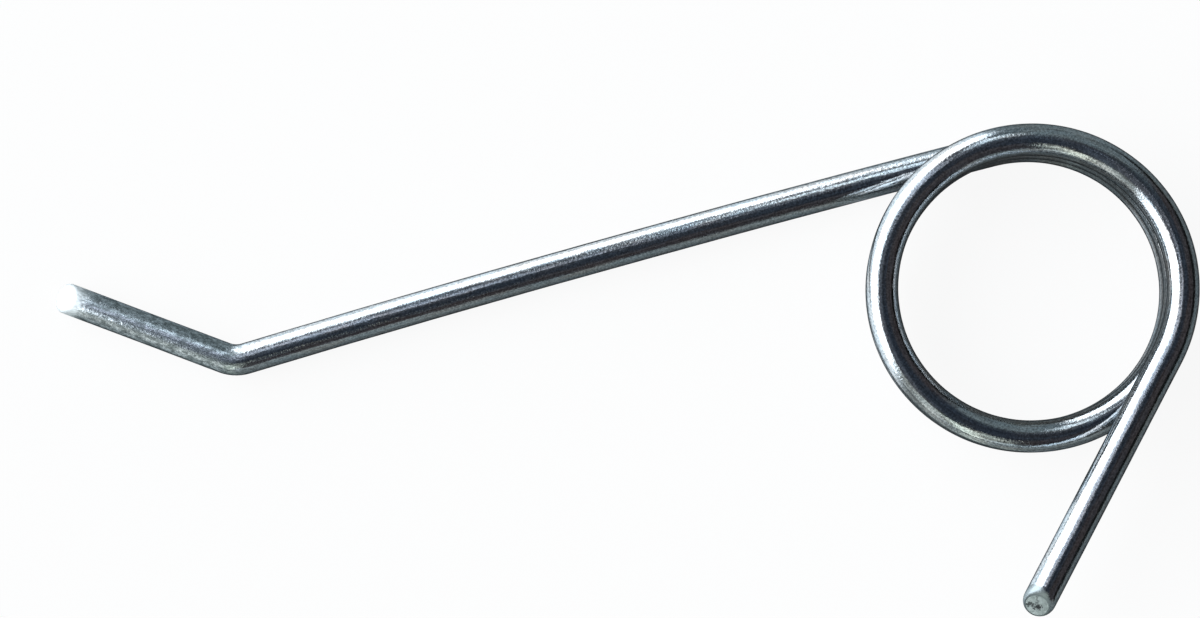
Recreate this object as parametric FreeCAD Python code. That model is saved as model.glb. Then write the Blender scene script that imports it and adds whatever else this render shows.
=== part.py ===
import FreeCAD, Part

import math
import os

# Spring tine of a lawn scarifier, bent from one piece of round spring wire.
# Millimetres. The tine lies on its side as it comes to rest, on the surface
# Z = 0, and the coil's axis meets that surface at the origin. +X runs along the
# long leg towards the coil, and +Z is up. The hook, the long leg and the coil's
# first half turn lie flat on the surface, so the coil's axis leans a little.

# Wire
wire_diameter = 3.0

# Coil, close wound and left handed
coil_inside_diameter = 24.5
coil_gap = 0.17
whole_turns = 2
angle_between_legs = 48.0

# Legs, each measured from where it leaves the coil
long_leg_length = 73.8
long_leg_bow_radius = 1860.0
short_leg_length = 25.8

# Hook at the working end of the long leg
hook_bend_angle = 37.0
hook_bend_inside_radius = 1.8
hook_straight_length = 17.0

# Sheared ends
shear_slant_angle = 38.0
sheared_edge_radius = 0.45

# Worked out from the sizes above
half_turn = 180.0
wire_radius = wire_diameter / 2
coil_radius = (coil_inside_diameter + wire_diameter) / 2
coil_pitch = wire_diameter + coil_gap
centre_climb = coil_pitch / 4
coil_lean = math.atan2(centre_climb, coil_radius)
long_leg_bow_angle = math.degrees(long_leg_length / long_leg_bow_radius)
hook_bend_radius = hook_bend_inside_radius + wire_radius
shear_allowance = wire_diameter
waste_radius = 2 * wire_diameter
on_plane_tolerance = wire_diameter / 1000

UP = FreeCAD.Vector(0, 0, 1)
TOWARDS_COIL = FreeCAD.Vector(1, 0, 0)
COIL_AXIS = FreeCAD.Vector(0, -math.sin(coil_lean), math.cos(coil_lean))
COIL_SIDE = FreeCAD.Vector(0, math.cos(coil_lean), math.sin(coil_lean))


def leg_start():
    """Point of the centreline where the long leg meets the coil, at the height of wire that lies flat."""
    up_the_axis = (wire_radius - coil_radius * COIL_SIDE.z) / COIL_AXIS.z
    return COIL_AXIS * up_the_axis + COIL_SIDE * coil_radius


def straight(start, ahead, length):
    """Straight run of the centreline, with the point where it ends."""
    end = start + ahead * length
    return Part.LineSegment(start, end).toShape(), end


def arc(start, ahead, to_centre, degrees):
    """Arc that leaves start along ahead and swings about start + to_centre, with its end and the heading there."""
    angle = math.radians(degrees)

    def at(turned):
        return start + to_centre * (1 - math.cos(turned)) + ahead * (to_centre.Length * math.sin(turned))

    heading = to_centre * math.sin(angle) + ahead * (to_centre.Length * math.cos(angle))
    return Part.Arc(start, at(angle / 2), at(angle)).toShape(), at(angle), heading.normalize()


def coil_arc(start, ahead, degrees):
    """Arc of up to half a turn, in a plane so tilted that each half turn climbs half a pitch."""
    to_centre = ahead.cross(COIL_AXIS) * coil_radius + COIL_AXIS * centre_climb
    return arc(start, ahead, to_centre, degrees)


def coil_side():
    """Edges of the coil and the short leg, then the short leg's end and heading."""
    edges = []
    point, ahead = leg_start(), TOWARDS_COIL
    last_arc = half_turn - angle_between_legs
    for degrees in [half_turn] * (2 * whole_turns) + [last_arc]:
        edge, point, ahead = coil_arc(point, ahead, degrees)
        edges.append(edge)
    leg, end = straight(point, ahead, short_leg_length + shear_allowance)
    return edges + [leg], end, ahead


def hook_side():
    """Edges of the bowed long leg, the bend and the hook, then the hook's end and heading."""
    ahead = -TOWARDS_COIL
    outward = ahead.cross(UP)
    leg, elbow, ahead = arc(leg_start(), ahead, -outward * long_leg_bow_radius, long_leg_bow_angle)
    outward = ahead.cross(UP)
    bend, hook_start, ahead = arc(elbow, ahead, outward * hook_bend_radius, hook_bend_angle)
    hook, end = straight(hook_start, ahead, hook_straight_length + shear_allowance)
    return [leg, bend, hook], end, ahead


def on_cut(edge, point, normal):
    """Whether an edge belongs to the rim of the cut through this point."""
    near = (edge.CenterOfMass - point).Length < wire_diameter
    return near and all(abs((v.Point - point).dot(normal)) < on_plane_tolerance for v in edge.Vertexes)


def shear(wire, overlong_end, ahead):
    """Cuts an overlong end back along a slanted plane whose face looks partly up, and rounds its rim."""
    cut_point = overlong_end - ahead * shear_allowance
    slant = math.radians(shear_slant_angle)
    normal = ahead * math.cos(slant) + UP * math.sin(slant)
    trimmed = wire.cut(Part.makeCylinder(waste_radius, waste_radius, cut_point, normal))
    rim = [edge for edge in trimmed.Edges if on_cut(edge, cut_point, normal)]
    return trimmed.makeFillet(sheared_edge_radius, rim)


def spring_tine():
    coil_edges, short_end, short_ahead = coil_side()
    hook_edges, hook_end, hook_ahead = hook_side()
    path = Part.Wire(Part.sortEdges(hook_edges + coil_edges)[0])
    section = Part.Wire(Part.makeCircle(wire_radius, hook_end, hook_ahead))
    wire = path.makePipeShell([section], True, False)
    wire = shear(wire, hook_end, hook_ahead)
    return shear(wire, short_end, short_ahead)


os.makedirs("parts", exist_ok=True)
spring_tine().exportStep("parts/spring_tine.step")
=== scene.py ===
"""Spring tine of bright zinc-plated wire on white paper, seen from above.

Lengths named here are in millimetres, as on the drawing of the tine.
They become metres where the mesh is made.
"Along" is the distance along the wire from the hook's end.
"""

import math

import bpy
import numpy as np
from mathutils import Matrix, Vector, noise


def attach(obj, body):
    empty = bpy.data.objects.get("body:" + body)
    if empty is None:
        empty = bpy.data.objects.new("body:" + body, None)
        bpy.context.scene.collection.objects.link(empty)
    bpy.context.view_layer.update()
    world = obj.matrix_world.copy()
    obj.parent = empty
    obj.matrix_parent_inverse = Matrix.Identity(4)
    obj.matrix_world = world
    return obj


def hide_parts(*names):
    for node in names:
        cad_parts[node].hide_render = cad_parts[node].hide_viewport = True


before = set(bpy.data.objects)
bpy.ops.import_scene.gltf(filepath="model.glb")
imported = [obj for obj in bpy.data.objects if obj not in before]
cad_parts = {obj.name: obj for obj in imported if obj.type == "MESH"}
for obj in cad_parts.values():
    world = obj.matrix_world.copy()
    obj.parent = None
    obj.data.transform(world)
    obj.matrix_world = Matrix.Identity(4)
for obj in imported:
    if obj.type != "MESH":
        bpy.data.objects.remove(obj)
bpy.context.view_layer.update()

MM = 0.001

# Sizes of the tine
WIRE_RADIUS = 1.5
COIL_RADIUS = 13.75
COIL_GAP = 0.17
HALF_TURNS = 4
ANGLE_BETWEEN_LEGS = math.radians(48)
LONG_LEG = 73.8
LONG_LEG_BOW_RADIUS = 1860.0
SHORT_LEG = 25.8
HOOK = 17.0
HOOK_BEND = math.radians(37)
HOOK_BEND_RADIUS = 3.3
SHEAR_SLANT = math.radians(38)
SHEARED_EDGE_RADIUS = 0.45

# Mesh of the wire
SIDES = 60
RING_SPACING = 0.3
END_BLEND = 3.5
END_RINGS = 12
RIM_RINGS = 6
CAP_RINGS = 12
SLOW_WOBBLE = 0.012
FAST_WOBBLE = 0.004

# Camera: the picture is 1200 by 618 pixels
PICTURE_WIDTH = 1200
FOCAL_PIXELS = 3165.0
CAMERA_DISTANCE = 300.0
VIEW_LEAN_X = -0.1048
VIEW_LEAN_Y = -0.0816
VIEW_TURN = 0.2436
COIL_RIGHT_OF_MIDDLE = 40.43
COIL_ABOVE_MIDDLE = 1.633

# Zinc plate: its colours, with a painted highlight on the hook's worn tip, the heights of its surface, and how
# far its wear and that highlight reach along the wire
ZINC_BLUE = (0.41, 0.47, 0.52, 1)
ZINC_WARM = (0.47, 0.46, 0.46, 1)
ZINC_LIGHT = (0.54, 0.58, 0.61, 1)
SCUFFED_DARK = (0.28, 0.32, 0.34, 1)
SCUFFED_LIGHT = (0.64, 0.70, 0.75, 1)
# Painted highlight: the pale colour of the hook's worn tip
PAINTED_TIP_HIGHLIGHT = (0.78, 0.82, 0.84, 1)
GRAZING_TINT = (0.2, 0.2, 0.2, 1)
GRAIN_DARKEST = 0.64
GRAIN_LIGHTEST = 1.31
PLATE_ROUGHNESS = (0.05, 0.11)
SCUFFS_ROUGHER_BY = (0.18, 0.06)
WORN_ROUGHER_BY = 0.45
RIM_ROUGHER_BY = 0.25
LINE_HEIGHT = 0.006
GRAIN_HEIGHT = 0.012
PEEL_HEIGHT = 0.012
SCUFF_HEIGHT = 0.03
HOOK_CURVE = 0.0022
HOOK_SCUFFS_END = 22.0
WORN_AND_HIGHLIGHT_TIP = 3.2
RIM_DULL_WITHIN = 0.63
RIM_DULLEST_WITHIN = 0.36

# Sheared steel of the two end faces
STEEL_DARK = (0.30, 0.35, 0.34, 1)
STEEL_LIGHT = (0.52, 0.58, 0.57, 1)
# Pale colour of the hook's rubbed end face, which is also a painted highlight
STEEL_RUBBED_AND_HIGHLIGHT = (0.75, 0.79, 0.80, 1)
STEEL_CRACKED = (0.03, 0.035, 0.036, 1)
STEEL_METALLIC = 0.35
STEEL_ROUGHNESS = 0.55
TEAR_HEIGHT = 0.06
CRACK_WANDER = 0.35
CRACKS = (
    # thin this way, off the middle by, runs this way, off the middle by, half width, reach, darkness
    ("Z", -0.12, "Y", 0.12, 0.34, 0.42, 1.0),
    ("Z", 0.0, "Y", -0.65, 0.2, 0.5, 0.85),
    ("Y", 0.05, "Z", 0.5, 0.13, 0.6, 0.45),
)

# Stage
PAPER_RADIUS = 3.0
PAPER_DROP = 0.00002
PAPER_SEEN = (0.95, 0.95, 0.95, 1)
PAPER_REFLECTED = (0.26, 0.31, 0.31)
PAPER_ROUGHNESS = 0.15
PAPER_IOR = 1.5
SHEEN_IOR = 4.5
# Painted shade on the paper inside the coil, seen in reflections
SHADE_IN_COIL = 0.45
SHADE_FADES_OVER = 6.0
GLOW_SEEN = 0.92
GLOW_REFLECTED = 0.06


# The wire's centreline, as runs that each know how to place a point and a frame

UP = np.array([0.0, 0.0, 1.0])


def unit(v):
    return v / np.linalg.norm(v)


def turned(v, axis, angle):
    """Vector v turned about a unit axis."""
    return (v * math.cos(angle) + np.cross(axis, v) * math.sin(angle)
            + axis * (axis @ v) * (1 - math.cos(angle)))


class Straight:
    def __init__(self, start, ahead, length):
        self.start, self.ahead, self.length = start, ahead, length

    def place(self, run, side):
        """Point, heading and sideways vector after this much of the run, from the one at its start."""
        return self.start + self.ahead * run, self.ahead, side


class Arc:
    def __init__(self, start, ahead, to_centre, angle):
        self.start, self.ahead, self.to_centre = start, ahead, to_centre
        self.radius = np.linalg.norm(to_centre)
        self.axis = np.cross(unit(ahead), to_centre / self.radius)
        self.length = self.radius * angle

    def place(self, run, side):
        angle = run / self.radius
        point = self.start + self.to_centre - turned(self.to_centre, self.axis, angle)
        return point, turned(self.ahead, self.axis, angle), turned(side, self.axis, angle)


def centreline():
    """Runs of the wire from the hook's end to the short leg's end."""
    climb = (2 * WIRE_RADIUS + COIL_GAP) / 4
    lean = math.atan2(climb, COIL_RADIUS)
    coil_axis = np.array([0, -math.sin(lean), math.cos(lean)])
    coil_side = np.array([0, math.cos(lean), math.sin(lean)])
    up_the_axis = (WIRE_RADIUS - COIL_RADIUS * coil_side[2]) / coil_axis[2]
    leg_start = coil_axis * up_the_axis + coil_side * COIL_RADIUS
    towards_coil = np.array([1.0, 0, 0])

    def end_of(run):
        return run.place(run.length, UP)[:2]

    leg = Arc(leg_start, -towards_coil, -np.cross(-towards_coil, UP) * LONG_LEG_BOW_RADIUS,
              LONG_LEG / LONG_LEG_BOW_RADIUS)
    elbow, heading = end_of(leg)
    bend = Arc(elbow, heading, np.cross(heading, UP) * HOOK_BEND_RADIUS, HOOK_BEND)
    hook_start, heading = end_of(bend)
    outward = [Straight(hook_start, heading, HOOK), bend, leg]
    inward = [reversed_run(run) for run in outward]

    coil = []
    point, heading = leg_start, towards_coil
    for angle in [math.pi] * HALF_TURNS + [math.pi - ANGLE_BETWEEN_LEGS]:
        to_centre = np.cross(heading, coil_axis) * COIL_RADIUS + coil_axis * climb
        coil.append(Arc(point, heading, to_centre, angle))
        point, heading = end_of(coil[-1])
    return inward + coil + [Straight(point, heading, SHORT_LEG)]


def reversed_run(run):
    """The same run, travelled the other way."""
    end, heading, _ = run.place(run.length, UP)
    if isinstance(run, Straight):
        return Straight(end, -heading, run.length)
    centre = run.start + run.to_centre
    return Arc(end, -heading, centre - end, run.length / run.radius)


RUNS = centreline()
WIRE_LENGTH = sum(run.length for run in RUNS)


def side_vectors():
    """Sideways vector at the start of each run, carried along without twist."""
    sides = [unit(np.cross(UP, RUNS[0].ahead))]
    for run in RUNS:
        sides.append(run.place(run.length, sides[-1])[2])
    return sides


SIDES_OF_RUNS = side_vectors()


def place(along):
    """Centreline point and the two cross-section vectors at this distance along the wire."""
    along_run = along
    for index, run in enumerate(RUNS):
        if along_run <= run.length or index == len(RUNS) - 1:
            break
        along_run -= run.length
    point, heading, side = run.place(along_run, SIDES_OF_RUNS[index])
    return point, side, np.cross(heading, side)


# Mesh

def smooth(x):
    x = min(max(x, 0.0), 1.0)
    return x * x * (3 - 2 * x)


def end_rings():
    """Rings of one sheared end, from the middle of its face to the plain wire.

    Each is (depth, radius, slant share, on face).
    """
    rings = []
    flat = WIRE_RADIUS - SHEARED_EDGE_RADIUS
    for i in range(1, CAP_RINGS):
        rings.append((0.0, flat * i / CAP_RINGS, 1.0, True))
    for i in range(RIM_RINGS + 1):
        angle = math.pi / 2 * (1 - i / RIM_RINGS)
        radius = flat + SHEARED_EDGE_RADIUS * math.cos(angle)
        depth = SHEARED_EDGE_RADIUS * (1 - math.sin(angle)) / math.cos(SHEAR_SLANT)
        rings.append((depth, radius, 1.0, i == 0))
    for i in range(1, END_RINGS + 1):
        share = i / END_RINGS
        depth = SHEARED_EDGE_RADIUS + (END_BLEND - SHEARED_EDGE_RADIUS) * share
        rings.append((depth, WIRE_RADIUS, 1 - smooth(share), False))
    return rings


def wire_rings():
    """All rings in order.

    Each is (along, radius, slant share, which end, on face), where the end is -1 hook, 1 short leg, 0 neither.
    """
    ends = end_rings()
    rings = [(depth, radius, slant, -1, face) for depth, radius, slant, face in ends]
    count = round((WIRE_LENGTH - 2 * END_BLEND) / RING_SPACING)
    for i in range(1, count):
        rings.append((END_BLEND + (WIRE_LENGTH - 2 * END_BLEND) * i / count, WIRE_RADIUS, 0.0, 0, False))
    rings += [(WIRE_LENGTH - depth, radius, slant, 1, face) for depth, radius, slant, face in reversed(ends)]
    return rings


def wobble(along, across, up):
    """How far the drawn wire strays from a true cylinder here."""
    slow = noise.noise(Vector((along * 0.16, across * 0.5, up * 0.5)))
    fast = noise.noise(Vector((along * 0.7, across * 1.3, up * 1.3 + 9.0)))
    return SLOW_WOBBLE * slow + FAST_WOBBLE * fast


def wire_mesh():
    """Closed mesh of the wire. The attribute "wire" keeps each point's straightened place, in millimetres."""
    points, straightened, faces, materials = [], [], [], []

    def add(along, across, up):
        on_wire = min(max(along, 0.0), WIRE_LENGTH)
        point, side, other = place(on_wire)
        point = point + np.cross(side, other) * (along - on_wire)
        points.append((point + side * across + other * up) * MM)
        straightened.append((along, across, up))

    def ring(along, radius, slant, end, face):
        _, side, other = place(along)
        for k in range(SIDES):
            angle = 2 * math.pi * k / SIDES
            across, up = radius * math.cos(angle), radius * math.sin(angle)
            height = across * side[2] + up * other[2]
            shift = -end * slant * height * math.tan(SHEAR_SLANT)
            grow = 1 + (0 if face else wobble(along, across, up) / WIRE_RADIUS)
            add(along + shift, across * grow, up * grow)

    rings = wire_rings()
    add(0.0, 0.0, 0.0)
    for spec in rings:
        ring(*spec)
    add(WIRE_LENGTH, 0.0, 0.0)
    last = len(points) - 1
    for k in range(SIDES):
        after = (k + 1) % SIDES
        faces.append((0, 1 + after, 1 + k))
        materials.append(1)
        faces.append((last, last - SIDES + k, last - SIDES + after))
        materials.append(1)
    for i in range(len(rings) - 1):
        low, high = 1 + i * SIDES, 1 + (i + 1) * SIDES
        face = rings[i][4] and rings[i + 1][4]
        for k in range(SIDES):
            after = (k + 1) % SIDES
            faces.append((low + k, low + after, high + after, high + k))
            materials.append(1 if face else 0)
    mesh = bpy.data.meshes.new("spring_tine_wire")
    mesh.from_pydata([tuple(p) for p in points], [], faces)
    mesh.polygons.foreach_set("material_index", materials)
    mesh.polygons.foreach_set("use_smooth", [True] * len(faces))
    attribute = mesh.attributes.new("wire", "FLOAT_VECTOR", "POINT")
    attribute.data.foreach_set("vector", np.array(straightened, np.float32).ravel())
    mesh.update()
    return mesh


# Materials

class Graph:
    """Short names for building a node tree."""

    def __init__(self, tree):
        self.tree = tree

    def node(self, kind, settings=None, inputs=None):
        made = self.tree.nodes.new(kind)
        for name, value in (settings or {}).items():
            setattr(made, name, value)
        for name, value in (inputs or {}).items():
            if isinstance(value, bpy.types.NodeSocket):
                self.tree.links.new(value, made.inputs[name])
            else:
                made.inputs[name].default_value = value
        return made

    def math(self, operation, first, second=0.0, third=0.0):
        made = self.node("ShaderNodeMath", {"operation": operation}, {0: first, 1: second, 2: third})
        return made.outputs[0]

    def ramp(self, value, low, high, to_low=0.0, to_high=1.0):
        """Smooth step of a value from one range to another."""
        made = self.node("ShaderNodeMapRange", {"interpolation_type": "SMOOTHSTEP"}, {
            "Value": value, "From Min": low, "From Max": high, "To Min": to_low, "To Max": to_high})
        return made.outputs["Result"]

    def mix(self, factor, first, second):
        made = self.node("ShaderNodeMix", {"data_type": "RGBA"}, {"Factor": factor})
        for index, value in ((6, first), (7, second)):
            if isinstance(value, bpy.types.NodeSocket):
                self.tree.links.new(value, made.inputs[index])
            else:
                made.inputs[index].default_value = value
        return made.outputs[2]

    def noise(self, vector, scale, detail=2.0, roughness=0.5):
        made = self.node("ShaderNodeTexNoise", {"normalize": True}, {
            "Vector": vector, "Scale": scale, "Detail": detail, "Roughness": roughness})
        return made.outputs["Fac"]

    def stretched(self, vector, along, across):
        """Wire coordinates scaled by one factor along the wire and another across it."""
        return self.node("ShaderNodeMapping", {"vector_type": "POINT"},
                         {"Vector": vector, "Scale": (along, across, across)}).outputs["Vector"]

    def scaled(self, vector, factor):
        return self.node("ShaderNodeVectorMath", {"operation": "SCALE"},
                         {"Vector": vector, "Scale": factor}).outputs["Vector"]

    def parts(self, vector):
        """X, Y and Z of a vector. On the wire they are along, across and up."""
        return self.node("ShaderNodeSeparateXYZ", {}, {"Vector": vector}).outputs

    def wire(self):
        """Place on the straightened wire, in millimetres."""
        return self.node("ShaderNodeAttribute", {"attribute_name": "wire"}).outputs["Vector"]


def new_material(name):
    material = bpy.data.materials.new(name)
    material.use_nodes = True
    material.node_tree.nodes.clear()
    return material, Graph(material.node_tree)


def zinc_plate():
    """Bright zinc plate on drawn wire: lengthwise lines, a fine grain, a dull rim at the short leg's end.

    The hook is duller and scuffed. Its worn tip is rougher and painted pale as a highlight.
    The hook is also shaded as if it curved down towards the tip.
    """
    material, g = new_material("bright_zinc_plate")
    wire = g.wire()
    along = g.parts(wire)["X"]
    hook = g.ramp(along, HOOK_SCUFFS_END, HOOK)
    slanted = g.math("MULTIPLY_ADD", g.parts(wire)["Z"], math.tan(SHEAR_SLANT), along)
    from_face = g.math("SUBTRACT", WIRE_LENGTH, slanted)
    rim = g.ramp(from_face, RIM_DULL_WITHIN, RIM_DULLEST_WITHIN)

    lines = g.noise(g.stretched(wire, 0.05, 5.0), 1.0, 3.0, 0.6)
    grain = g.noise(wire, 5.0, 2.0, 0.7)
    peel = g.noise(wire, 3.0, 2.0, 0.5)
    scuffs = g.noise(g.stretched(wire, 1.2, 2.6), 1.0, 4.0, 0.6)
    # Worn tip of the hook: rougher, and painted pale as a highlight
    worn_tip_and_highlight = g.ramp(g.math("MULTIPLY_ADD", scuffs, -2.0, along), WORN_AND_HIGHLIGHT_TIP - 1.0, 0.0)
    patches = g.noise(g.stretched(wire, 0.25, 1.4), 1.0, 2.0, 0.5)

    plain = g.mix(g.ramp(patches, 0.35, 0.65), ZINC_BLUE, ZINC_WARM)
    streaked = g.mix(g.ramp(lines, 0.35, 0.75), plain, ZINC_LIGHT)
    dull = g.mix(g.ramp(scuffs, 0.4, 0.6), SCUFFED_DARK, SCUFFED_LIGHT)
    grainy = g.scaled(g.mix(hook, streaked, dull), g.ramp(grain, 0.3, 0.7, GRAIN_DARKEST, GRAIN_LIGHTEST))
    # The tip's pale colour is a painted highlight
    colour = g.mix(rim, g.mix(worn_tip_and_highlight, grainy, PAINTED_TIP_HIGHLIGHT), SCUFFED_DARK)

    rough = g.ramp(lines, 0.3, 0.8, *PLATE_ROUGHNESS)
    rough = g.math("MULTIPLY_ADD", hook, g.ramp(scuffs, 0.3, 0.7, *SCUFFS_ROUGHER_BY), rough)
    rough = g.math("MULTIPLY_ADD", worn_tip_and_highlight, WORN_ROUGHER_BY, rough)
    rough = g.math("MULTIPLY_ADD", rim, RIM_ROUGHER_BY, rough)

    height = g.math("MULTIPLY_ADD", lines, LINE_HEIGHT, g.math("MULTIPLY", grain, GRAIN_HEIGHT))
    peeled = g.math("MULTIPLY", peel, g.ramp(patches, 0.42, 0.66))
    height = g.math("MULTIPLY_ADD", peeled, PEEL_HEIGHT, height)
    height = g.math("MULTIPLY_ADD", g.math("MULTIPLY", scuffs, hook), SCUFF_HEIGHT, height)
    before_bend = g.math("MAXIMUM", g.math("SUBTRACT", HOOK, along), 0.0)
    height = g.math("MULTIPLY_ADD", g.math("POWER", before_bend, 2.0), -HOOK_CURVE, height)
    bump = g.node("ShaderNodeBump", {}, {"Strength": 1.0, "Distance": MM, "Height": height})
    shader = g.node("ShaderNodeBsdfPrincipled", {}, {
        "Base Color": colour, "Metallic": 1.0, "Roughness": rough, "Specular Tint": GRAZING_TINT,
        "Normal": bump.outputs["Normal"]})
    g.node("ShaderNodeOutputMaterial", {}, {"Surface": shader.outputs["BSDF"]})
    return material


def sheared_steel():
    """Bare steel of a sheared end: matt grey with a torn crack on the short leg. On the hook it is rubbed
    bright, and its pale colour is also a painted highlight.
    """
    material, g = new_material("sheared_steel")
    wire = g.wire()
    short_leg = g.ramp(g.parts(wire)["X"], HOOK, HOOK + LONG_LEG)
    tear = g.noise(wire, 2.2, 4.0, 0.6)
    matt = g.mix(g.ramp(tear, 0.3, 0.7), STEEL_DARK, STEEL_LIGHT)
    # The hook's end face: rubbed steel, painted pale as a highlight
    colour = g.mix(short_leg, STEEL_RUBBED_AND_HIGHLIGHT, matt)

    wander = g.node("ShaderNodeTexNoise", {"normalize": False}, {"Vector": wire, "Scale": 3.0, "Detail": 3.0})
    torn = g.node("ShaderNodeVectorMath", {"operation": "ADD"},
                  {0: g.scaled(wander.outputs["Color"], CRACK_WANDER), 1: wire}).outputs["Vector"]
    torn = g.parts(torn)
    arms = []
    for thin, aside, runs, middle, width, reach, dark in CRACKS:
        off = g.math("ABSOLUTE", g.math("SUBTRACT", torn[thin], aside))
        out = g.math("ABSOLUTE", g.math("SUBTRACT", torn[runs], middle))
        across_arm = g.ramp(off, width, width * 0.4, 0.0, dark)
        arms.append(g.math("MULTIPLY", across_arm, g.ramp(out, reach, reach * 0.6)))
    crack = g.math("MAXIMUM", arms[0], g.math("MAXIMUM", arms[1], arms[2]))
    crack = g.math("MULTIPLY", crack, short_leg)
    colour = g.mix(crack, colour, STEEL_CRACKED)
    height = g.math("MULTIPLY_ADD", crack, -2.0, tear)
    bump = g.node("ShaderNodeBump", {}, {"Strength": 0.8, "Distance": TEAR_HEIGHT * MM, "Height": height})
    shader = g.node("ShaderNodeBsdfPrincipled", {}, {
        "Base Color": colour, "Metallic": STEEL_METALLIC, "Roughness": STEEL_ROUGHNESS,
        "Normal": bump.outputs["Normal"]})
    g.node("ShaderNodeOutputMaterial", {}, {"Surface": shader.outputs["BSDF"]})
    return material


def white_paper():
    """Coated white paper with a soft sheen.

    Most of its white is its own to the camera, so that the shadow stays faint. Reflections show a little of
    that glow and more of the paper itself, which is bright towards the window and grey away from it. Inside
    the coil, the paper's colour and sheen in reflections are darkened. This is a painted shade of the coil.
    """
    material, g = new_material("white_paper")
    rays = g.node("ShaderNodeLightPath")
    seen = rays.outputs["Is Camera Ray"]
    reflected = g.math("MAXIMUM", rays.outputs["Is Glossy Ray"], rays.outputs["Is Transmission Ray"])
    glow_reflected = g.math("MULTIPLY", reflected, GLOW_REFLECTED)
    share = g.math("MAXIMUM", g.math("MULTIPLY", seen, GLOW_SEEN), glow_reflected)
    place_on_paper = g.node("ShaderNodeNewGeometry").outputs["Position"]
    from_axis = g.node("ShaderNodeVectorMath", {"operation": "LENGTH"}, {"Vector": place_on_paper})
    # Painted shade: inside the coil, the paper's reflected colour and sheen are darkened
    outside = g.ramp(from_axis.outputs["Value"], (COIL_RADIUS - SHADE_FADES_OVER) * MM, COIL_RADIUS * MM,
                     SHADE_IN_COIL, 1.0)
    sheen = g.ramp(g.math("MULTIPLY", reflected, outside), SHADE_IN_COIL, 1.0, PAPER_IOR, SHEEN_IOR)
    paper = g.node("ShaderNodeBsdfPrincipled", {}, {
        "Base Color": g.mix(seen, g.scaled(PAPER_REFLECTED, outside), PAPER_SEEN),
        "Roughness": PAPER_ROUGHNESS, "IOR": sheen})
    glow = g.node("ShaderNodeEmission", {}, {"Color": (1, 1, 1, 1), "Strength": 1.0})
    both = g.node("ShaderNodeMixShader", {}, {"Fac": share})
    g.tree.links.new(paper.outputs["BSDF"], both.inputs[1])
    g.tree.links.new(glow.outputs["Emission"], both.inputs[2])
    g.node("ShaderNodeOutputMaterial", {}, {"Surface": both.outputs["Shader"]})
    return material


# Light: a dim room with a tall window on the left, in the picture's directions

ROOM = (0.068, 0.062, 0.066, 1)
WALLS = (
    # name, azimuth, half width, side softness, near edge, its softness, far edge (degrees), colour, strength
    ("ceiling_shade", 158, 180, 1, -25, 8, 92, (0.62, 0.76, 1.0), 0.062),
    ("window_glow", 158, 180, 1, 2, 8, 92, (0.74, 0.84, 1.0), 0.17),
    ("window_haze", 141, 13, 8, 5, 12, 92, (0.82, 0.88, 1.0), 1.3),
    ("far_wall", 74, 24, 10, 25, 15, 92, (0.78, 0.95, 1.0), 0.25),
    ("side_light", 99, 6, 3, 22, 5, 44, (0.82, 0.93, 1.0), 2.0),
    ("near_wall", 240, 30, 4, 40, 8, 86, (0.90, 1.0, 0.95), 0.22),
    ("dark_floor", 4, 56, 8, 68, 5, 92, (0.9, 1.0, 1.0), 0.012),
    ("pale_floor", 287, 17, 6, 76, 4, 92, (0.9, 1.0, 1.0), 0.34),
    ("curtain", 219, 9, 5, 48, 8, 86, (0.95, 1.0, 0.95), 0.50),
    ("pale_door", 236, 6, 2, 47, 3, 88, (0.95, 1.0, 0.95), 0.85),
    ("lamp", 252, 6, 1, 46, 2, 84, (0.93, 1.0, 0.88), 1.4),
    ("sill", 263, 5, 1, 74, 3, 84, (0.90, 1.0, 1.0), 1.2),
    ("small_lamp", 265, 2.5, 1, 34, 2, 62, (0.95, 1.0, 0.88), 1.1),
)
WINDOW = ("window", 158, 57, 4, 31.5, 6, 88, (0.92, 0.97, 1.0), 3.8)
WINDOW_FACES = 171
FAR_SOFTNESS = 2
CLUTTER = (0.45, 1.55)


def panel(g, direction, total, spec, faces=None):
    """Lays one upright panel over what is there.

    Its near edge is straight, like the top of a window, and square to the azimuth that it faces.
    """
    _, azimuth, half, side_soft, near, near_soft, far, tone, strength = spec
    faces = azimuth if faces is None else faces
    turn = (0, 0, VIEW_TURN - math.radians(faces))
    facing = g.node("ShaderNodeVectorRotate", {"rotation_type": "EULER_XYZ"},
                    {"Vector": direction, "Rotation": turn}).outputs["Vector"]
    part = g.parts(facing)
    sideways = g.math("ADD", g.math("ARCTAN2", part["Y"], part["X"]), math.radians(faces - azimuth))
    sideways = g.math("ABSOLUTE", sideways)
    from_overhead = g.math("ARCTAN2", part["X"], part["Z"])

    def edge(value, middle, soft):
        return g.ramp(value, math.radians(middle - soft), math.radians(middle + soft))

    beyond = g.math("MAXIMUM", edge(sideways, half, side_soft), edge(from_overhead, far, FAR_SOFTNESS))
    mask = g.math("MULTIPLY", edge(from_overhead, near, near_soft), g.math("SUBTRACT", 1.0, beyond))
    return g.mix(mask, total, tuple(c * strength for c in tone) + (1,))


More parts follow.
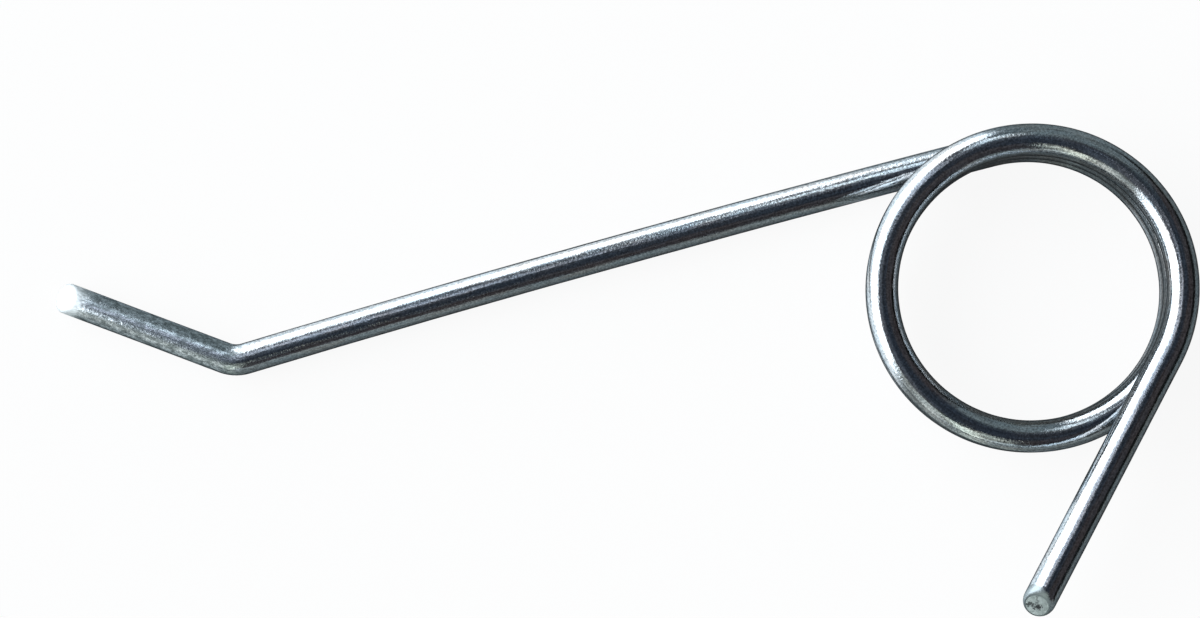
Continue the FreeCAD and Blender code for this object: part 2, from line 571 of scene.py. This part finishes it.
def room_light():
    """World of upright panels, placed by azimuth from the picture's right and by angle from overhead."""
    world = bpy.data.worlds.new("studio_room")
    bpy.context.scene.world = world
    world.use_nodes = True
    world.node_tree.nodes.clear()
    g = Graph(world.node_tree)
    direction = g.node("ShaderNodeTexCoord").outputs["Generated"]
    total = ROOM
    for spec in WALLS:
        total = panel(g, direction, total, spec)
    total = g.scaled(total, g.ramp(g.noise(direction, 9.0, 3.0), 0.3, 0.7, *CLUTTER))
    total = panel(g, direction, total, WINDOW, WINDOW_FACES)
    background = g.node("ShaderNodeBackground", {}, {"Color": total, "Strength": 1.0})
    g.node("ShaderNodeOutputWorld", {}, {"Surface": background.outputs["Background"]})


# Objects

def add_object(name, mesh, materials):
    made = bpy.data.objects.new(name, mesh)
    for material in materials:
        mesh.materials.append(material)
    bpy.context.scene.collection.objects.link(made)
    return made


def paper_sheet():
    bpy.ops.mesh.primitive_circle_add(vertices=96, radius=PAPER_RADIUS, fill_type="NGON",
                                      location=(0, 0, -PAPER_DROP))
    paper = bpy.context.object
    paper.name = "paper"
    paper.data.materials.append(white_paper())


def camera():
    """Looks down at the tine from where the photograph was taken."""
    attitude = (Matrix.Rotation(-VIEW_TURN, 4, "Z") @ Matrix.Rotation(-VIEW_LEAN_Y, 4, "Y")
                @ Matrix.Rotation(-VIEW_LEAN_X, 4, "X"))
    offset = Vector((-COIL_RIGHT_OF_MIDDLE, -COIL_ABOVE_MIDDLE, CAMERA_DISTANCE)) * MM
    data = bpy.data.cameras.new("camera")
    data.sensor_width = 36.0
    data.lens = data.sensor_width * FOCAL_PIXELS / PICTURE_WIDTH
    data.clip_start = 0.01
    made = bpy.data.objects.new("camera", data)
    made.matrix_world = Matrix.Translation(attitude.to_3x3() @ offset) @ attitude
    bpy.context.scene.collection.objects.link(made)
    bpy.context.scene.camera = made


wire = add_object("spring_tine_wire", wire_mesh(), [zinc_plate(), sheared_steel()])
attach(wire, "root")
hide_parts("spring_tine")
paper_sheet()
room_light()
camera()
bpy.context.scene.view_settings.view_transform = "Standard"
